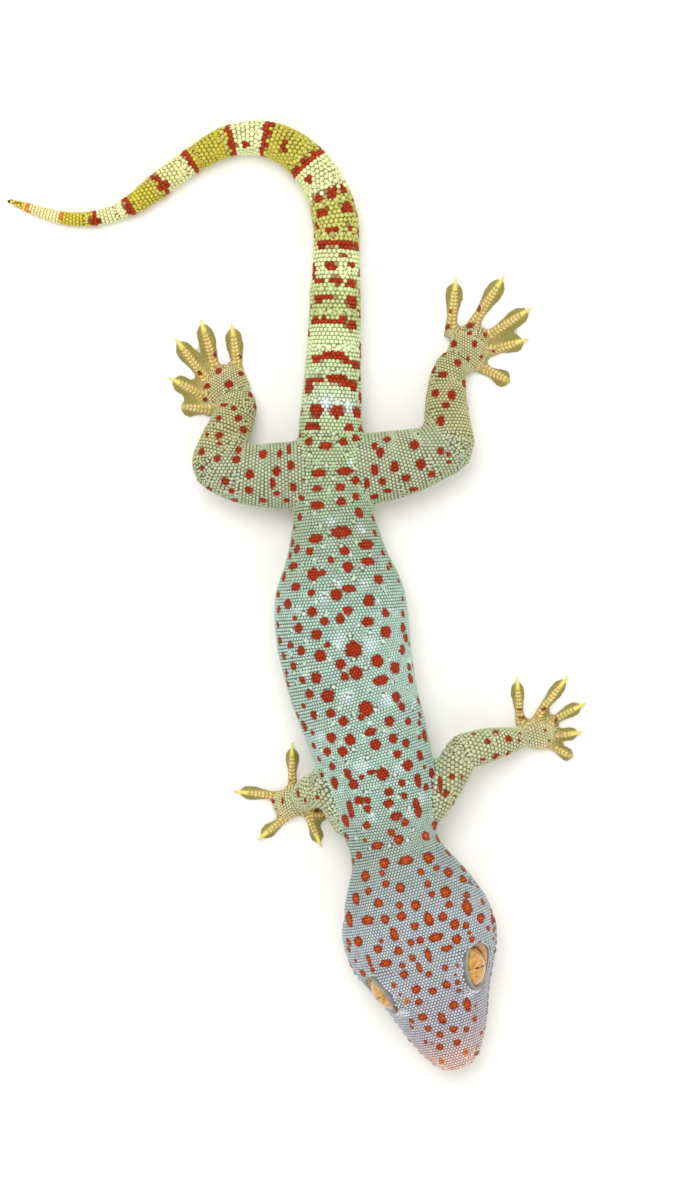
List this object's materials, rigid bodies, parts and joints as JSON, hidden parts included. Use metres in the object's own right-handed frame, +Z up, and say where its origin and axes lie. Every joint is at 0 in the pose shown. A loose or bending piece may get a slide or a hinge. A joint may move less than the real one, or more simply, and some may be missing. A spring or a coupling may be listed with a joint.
{
  "type": "tokay gecko",
  "caption": "Life-size tokay gecko lying on its belly, limbs spread and tail curled to one side, with broad toe pads, large eyes and a spotted, banded skin.",
  "frame": {"origin": "on the floor, under the middle of the whole outline", "axes": "+Z up from the floor, -Y towards the snout, +Y towards the root of the tail, +X to the animal's left"},
  "size_m": [0.1526, 0.2485, 0.0253],
  "materials": {
    "head_skin": "satin",
    "back_skin": "satin",
    "tail_skin": "satin",
    "leg_skin": "satin",
    "palm_skin": "satin",
    "toe_skin": "satin",
    "eye": "gloss"
  },
  "bodies": {
    "root": {"head": "head_skin", "jaw": "head_skin", "eye_left": "eye", "eye_right": "eye", "neck": "back_skin", "torso": "back_skin", "tail_1": "tail_skin", "tail_2": "tail_skin", "tail_3": "tail_skin", "tail_4": "tail_skin", "tail_5": "tail_skin", "tail_6": "tail_skin", "upper_arm_left": "leg_skin", "forearm_left": "leg_skin", "hand_left": "palm_skin", "hand_left_toe_1": "toe_skin", "hand_left_toe_2": "toe_skin", "hand_left_toe_3": "toe_skin", "hand_left_toe_4": "toe_skin", "hand_left_toe_5": "toe_skin", "upper_arm_right": "leg_skin", "forearm_right": "leg_skin", "hand_right": "palm_skin", "hand_right_toe_1": "toe_skin", "hand_right_toe_2": "toe_skin", "hand_right_toe_3": "toe_skin", "hand_right_toe_4": "toe_skin", "hand_right_toe_5": "toe_skin", "thigh_left": "leg_skin", "shank_left": "leg_skin", "foot_left": "palm_skin", "foot_left_toe_1": "toe_skin", "foot_left_toe_2": "toe_skin", "foot_left_toe_3": "toe_skin", "foot_left_toe_4": "toe_skin", "foot_left_toe_5": "toe_skin", "thigh_right": "leg_skin", "shank_right": "leg_skin", "foot_right": "palm_skin", "foot_right_toe_1": "toe_skin", "foot_right_toe_2": "toe_skin", "foot_right_toe_3": "toe_skin", "foot_right_toe_4": "toe_skin", "foot_right_toe_5": "toe_skin"}
  },
  "joints": []
}
